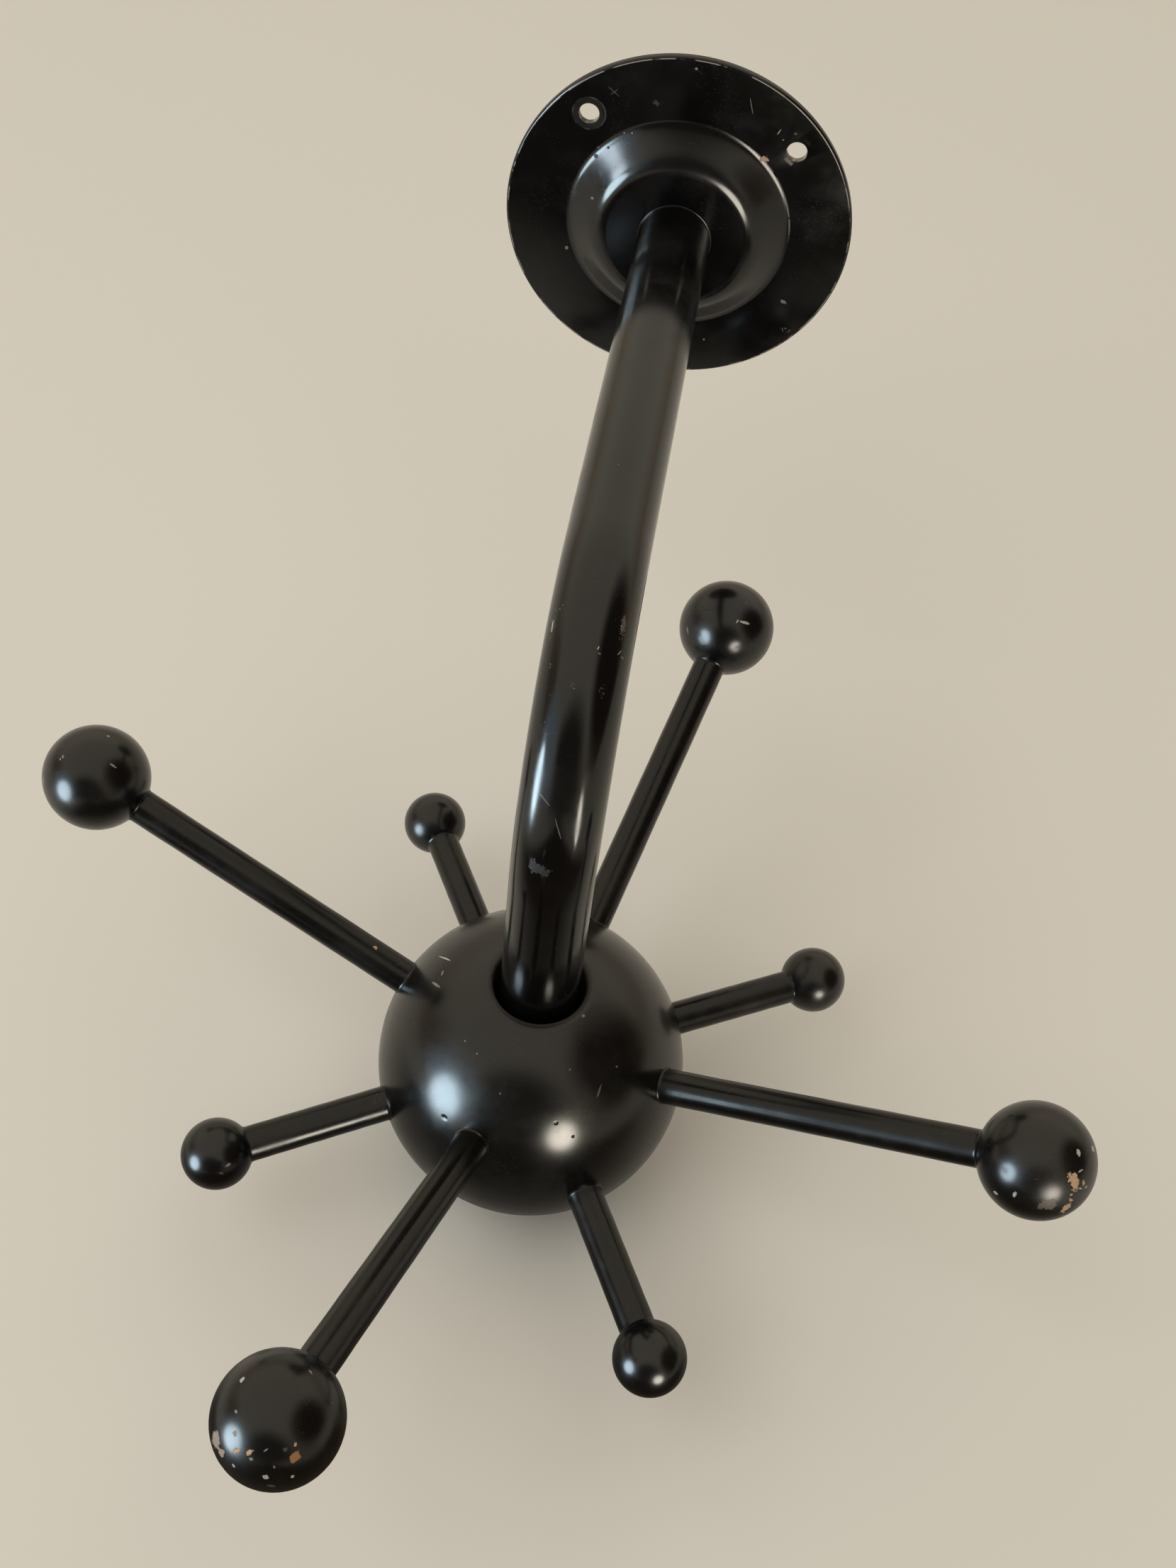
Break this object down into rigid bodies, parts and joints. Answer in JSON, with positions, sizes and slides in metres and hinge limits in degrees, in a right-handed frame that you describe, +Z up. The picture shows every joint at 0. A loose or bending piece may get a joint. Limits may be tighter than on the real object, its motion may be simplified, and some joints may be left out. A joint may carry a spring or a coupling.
{
  "type": "wall coat rack",
  "caption": "Wall coat rack: a round screw-on flange, a bent steel tube arm, and a turning ball hub with long rising pegs and short level pegs that end in balls.",
  "frame": {"origin": "middle of the flange's back face, on the plane of the wall", "axes": "+Z up, +Y into the wall, so that the arm stands out along -Y, and +X to the right of someone who faces the wall"},
  "size_m": [0.2974, 0.3576, 0.2471],
  "materials": {
    "flange_enamel": "gloss black enamel, worn at the dome's foot and in the screw holes",
    "tube_enamel": "gloss black enamel with fine scratches",
    "hub_paint": "satin black paint with small dents",
    "long_rod_paint": "semi-gloss black paint over fine grain",
    "short_rod_paint": "semi-gloss black paint over fine grain",
    "large_ball_paint": "gloss black lacquer, chipped to the tan wood",
    "small_ball_paint": "gloss black lacquer with small chips",
    "plug_steel": "plain turned steel",
    "washer_steel": "plain steel",
    "bolt_steel": "black oxide",
    "washer_brass": "plain brass",
    "bush_brass": "plain brass"
  },
  "bodies": {
    "arm": {"wall_flange": "flange_enamel", "arm_tube": "tube_enamel", "end_plug": "plug_steel", "pivot_bolt": "bolt_steel", "thrust_washer": "washer_brass", "head_washer": "washer_steel"},
    "head": {"hub_ball": "hub_paint", "pivot_bush": "bush_brass", "long_rod_1": "long_rod_paint", "long_rod_2": "long_rod_paint", "long_rod_3": "long_rod_paint", "long_rod_4": "long_rod_paint", "short_rod_1": "short_rod_paint", "short_rod_2": "short_rod_paint", "short_rod_3": "short_rod_paint", "short_rod_4": "short_rod_paint", "large_ball_1": "large_ball_paint", "large_ball_2": "large_ball_paint", "large_ball_3": "large_ball_paint", "large_ball_4": "large_ball_paint", "small_ball_1": "small_ball_paint", "small_ball_2": "small_ball_paint", "small_ball_3": "small_ball_paint", "small_ball_4": "small_ball_paint"}
  },
  "joints": [
    {"name": "head_turn", "type": "hinge", "parent": "arm", "child": "head", "pos_m": [0, -0.2095, -0.151], "axis": [0, 0, 1], "continuous": true}
  ]
}
